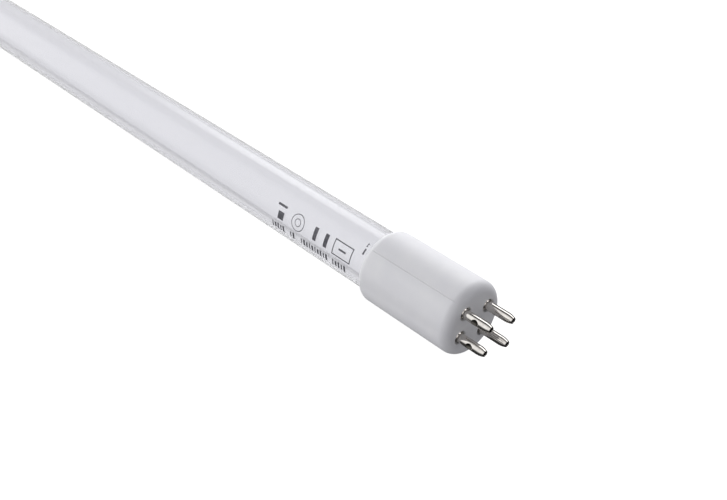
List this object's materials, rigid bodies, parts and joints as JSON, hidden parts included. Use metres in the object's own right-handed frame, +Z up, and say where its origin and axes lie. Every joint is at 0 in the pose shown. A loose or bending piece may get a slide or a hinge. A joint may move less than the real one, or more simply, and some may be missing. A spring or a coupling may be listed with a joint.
{
  "type": "germicidal lamp tube",
  "caption": "Straight quartz lamp tube with a white ceramic base carrying all its contact pins at one end and a plain cap at the other.",
  "frame": {"origin": "centre of the four-pin pattern, on the base's pin face and on the lamp's axis", "axes": "+X out of the base along the pins, so that the tube runs along -X; +Y along the pin pattern's long side; +Z up with the lamp lying on its base and cap"},
  "size_m": [0.4436, 0.0192, 0.0192],
  "materials": {
    "quartz": "clear, fire polished",
    "white_ceramic": "satin",
    "cement": "matt, fine grained",
    "plated_pin": "bright nickel plate",
    "coated_coil": "chalky emitter coating on tungsten",
    "nickel": "drawn wire",
    "foil": "dull molybdenum foil",
    "sleeving": "thin white heat-proof sleeving",
    "mercury": "liquid metal",
    "ink": "matt fired ink of the marks on the tube"
  },
  "bodies": {
    "root": {"quartz_tube": "quartz", "pin_base": "white_ceramic", "end_cap": "white_ceramic", "base_cement": "cement", "cap_cement": "cement", "contact_pin_1": "plated_pin", "contact_pin_2": "plated_pin", "contact_pin_3": "plated_pin", "contact_pin_4": "plated_pin", "near_filament": "coated_coil", "far_filament": "coated_coil", "near_post_1": "nickel", "near_post_2": "nickel", "far_post_1": "nickel", "far_post_2": "nickel", "near_lead_1": "nickel", "near_lead_2": "nickel", "far_lead_1": "nickel", "far_lead_2": "nickel", "return_wire_1": "nickel", "return_wire_2": "nickel", "near_foil_1": "foil", "near_foil_2": "foil", "far_foil_1": "foil", "far_foil_2": "foil", "return_sleeve_1": "sleeving", "return_sleeve_2": "sleeving", "mercury_bead": "mercury"}
  },
  "joints": []
}
